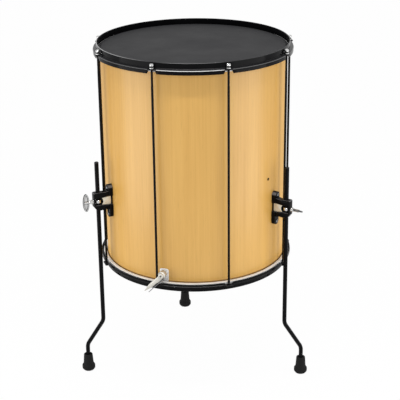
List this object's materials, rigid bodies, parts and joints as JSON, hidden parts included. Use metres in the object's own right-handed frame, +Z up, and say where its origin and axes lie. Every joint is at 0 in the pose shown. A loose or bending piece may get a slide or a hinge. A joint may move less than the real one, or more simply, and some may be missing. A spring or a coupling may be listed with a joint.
{
  "type": "surdo",
  "caption": "Deep wooden surdo drum with dark heads, black rims, tension rods with cap nuts, clamped sliding legs with rubber feet and a lever muffler.",
  "frame": {"origin": "middle of the drum's footprint, on the floor under the rubber feet", "axes": "+Z up along the shell; the side that the picture shows faces -Y"},
  "size_m": [0.6568, 0.6114, 0.9597],
  "materials": {
    "wood": "clear lacquered honey wood",
    "black_skin": "dark grey drum film, lightly textured",
    "black_paint": "gloss black powder coat",
    "aluminium": "plain rolled aluminium",
    "chrome": "polished chrome",
    "zinc": "pale cast zinc",
    "steel": "plated steel",
    "rubber": "matte black rubber",
    "felt": "pressed grey felt"
  },
  "bodies": {
    "drum": {"shell": "wood", "vent_eyelet": "black_paint", "batter_head": "black_skin", "batter_flesh_hoop": "aluminium", "batter_counterhoop": "black_paint", "resonant_head": "black_skin", "resonant_flesh_hoop": "aluminium", "resonant_counterhoop": "black_paint", "tension_rod_1": "black_paint", "tension_rod_2": "black_paint", "tension_rod_3": "black_paint", "tension_rod_4": "black_paint", "tension_rod_5": "black_paint", "tension_rod_6": "black_paint", "tension_rod_7": "black_paint", "tension_rod_8": "black_paint", "clamp_bracket_left": "black_paint", "clamp_saddle_left": "zinc", "clamp_eye_bolt_left": "chrome", "clamp_washer_left": "chrome", "bracket_screw_left_1": "black_paint", "bracket_screw_left_2": "black_paint", "clamp_bracket_right": "black_paint", "clamp_saddle_right": "zinc", "clamp_eye_bolt_right": "chrome", "clamp_washer_right": "chrome", "bracket_screw_right_1": "black_paint", "bracket_screw_right_2": "black_paint", "clamp_bracket_rear": "black_paint", "clamp_saddle_rear": "zinc", "clamp_eye_bolt_rear": "chrome", "clamp_washer_rear": "chrome", "bracket_screw_rear_1": "black_paint", "bracket_screw_rear_2": "black_paint", "muffler_plate": "chrome", "muffler_sleeve": "steel", "muffler_sleeve_nut": "steel"},
    "nut_1": {"tension_nut_1": "chrome"},
    "nut_2": {"tension_nut_2": "chrome"},
    "nut_3": {"tension_nut_3": "chrome"},
    "nut_4": {"tension_nut_4": "chrome"},
    "nut_5": {"tension_nut_5": "chrome"},
    "nut_6": {"tension_nut_6": "chrome"},
    "nut_7": {"tension_nut_7": "chrome"},
    "nut_8": {"tension_nut_8": "chrome"},
    "wing_nut_left": {"clamp_wing_nut_left": "chrome"},
    "leg_left": {"leg_rod_left": "black_paint", "leg_foot_left": "rubber"},
    "wing_nut_right": {"clamp_wing_nut_right": "chrome"},
    "leg_right": {"leg_rod_right": "black_paint", "leg_foot_right": "rubber"},
    "wing_nut_rear": {"clamp_wing_nut_rear": "chrome"},
    "leg_rear": {"leg_rod_rear": "black_paint", "leg_foot_rear": "rubber"},
    "muffler": {"muffler_shaft": "steel", "muffler_lever": "steel", "muffler_paddle": "steel", "muffler_felt": "felt"}
  },
  "joints": [
    {"name": "nut_1_spin", "type": "hinge", "parent": "drum", "child": "nut_1", "pos_m": [-0.13009, 0.2016, 0.95055], "axis": [0, 0, 1], "continuous": true},
    {"name": "nut_2_spin", "type": "hinge", "parent": "drum", "child": "nut_2", "pos_m": [-0.25947, 0.02352, 0.95055], "axis": [0, 0, 1], "continuous": true},
    {"name": "nut_3_spin", "type": "hinge", "parent": "drum", "child": "nut_3", "pos_m": [-0.24387, -0.13848, 0.95055], "axis": [0, 0, 1], "continuous": true},
    {"name": "nut_4_spin", "type": "hinge", "parent": "drum", "child": "nut_4", "pos_m": [-0.09176, -0.28537, 0.95055], "axis": [0, 0, 1], "continuous": true},
    {"name": "nut_5_spin", "type": "hinge", "parent": "drum", "child": "nut_5", "pos_m": [0.10219, -0.28537, 0.95055], "axis": [0, 0, 1], "continuous": true},
    {"name": "nut_6_spin", "type": "hinge", "parent": "drum", "child": "nut_6", "pos_m": [0.2543, -0.13848, 0.95055], "axis": [0, 0, 1], "continuous": true},
    {"name": "nut_7_spin", "type": "hinge", "parent": "drum", "child": "nut_7", "pos_m": [0.2699, 0.02352, 0.95055], "axis": [0, 0, 1], "continuous": true},
    {"name": "nut_8_spin", "type": "hinge", "parent": "drum", "child": "nut_8", "pos_m": [0.14052, 0.2016, 0.95055], "axis": [0, 0, 1], "continuous": true},
    {"name": "wing_nut_left_spin", "type": "hinge", "parent": "drum", "child": "wing_nut_left", "pos_m": [-0.28392, -0.18006, 0.5395], "axis": [-0.891, -0.454, 0], "continuous": true},
    {"name": "leg_left_height", "type": "slide", "parent": "drum", "child": "leg_left", "axis": [0, 0, 1], "range_m": [-0.075, 0.28]},
    {"name": "wing_nut_right_spin", "type": "hinge", "parent": "drum", "child": "wing_nut_right", "pos_m": [0.28481, -0.19744, 0.5235], "axis": [0.8616, -0.5075, 0], "continuous": true},
    {"name": "leg_right_height", "type": "slide", "parent": "drum", "child": "leg_right", "axis": [0, 0, 1], "range_m": [-0.075, 0.28]},
    {"name": "wing_nut_rear_spin", "type": "hinge", "parent": "drum", "child": "wing_nut_rear", "pos_m": [0.01428, 0.29163, 0.5315], "axis": [0.0279, 0.9996, 0], "continuous": true},
    {"name": "leg_rear_height", "type": "slide", "parent": "drum", "child": "leg_rear", "axis": [0, 0, 1], "range_m": [-0.075, 0.28]},
    {"name": "muffler_turn", "type": "hinge", "parent": "drum", "child": "muffler", "pos_m": [-0.07079, -0.27091, 0.375], "axis": [-0.304, -0.9527, 0], "range_deg": [0, 90]}
  ]
}
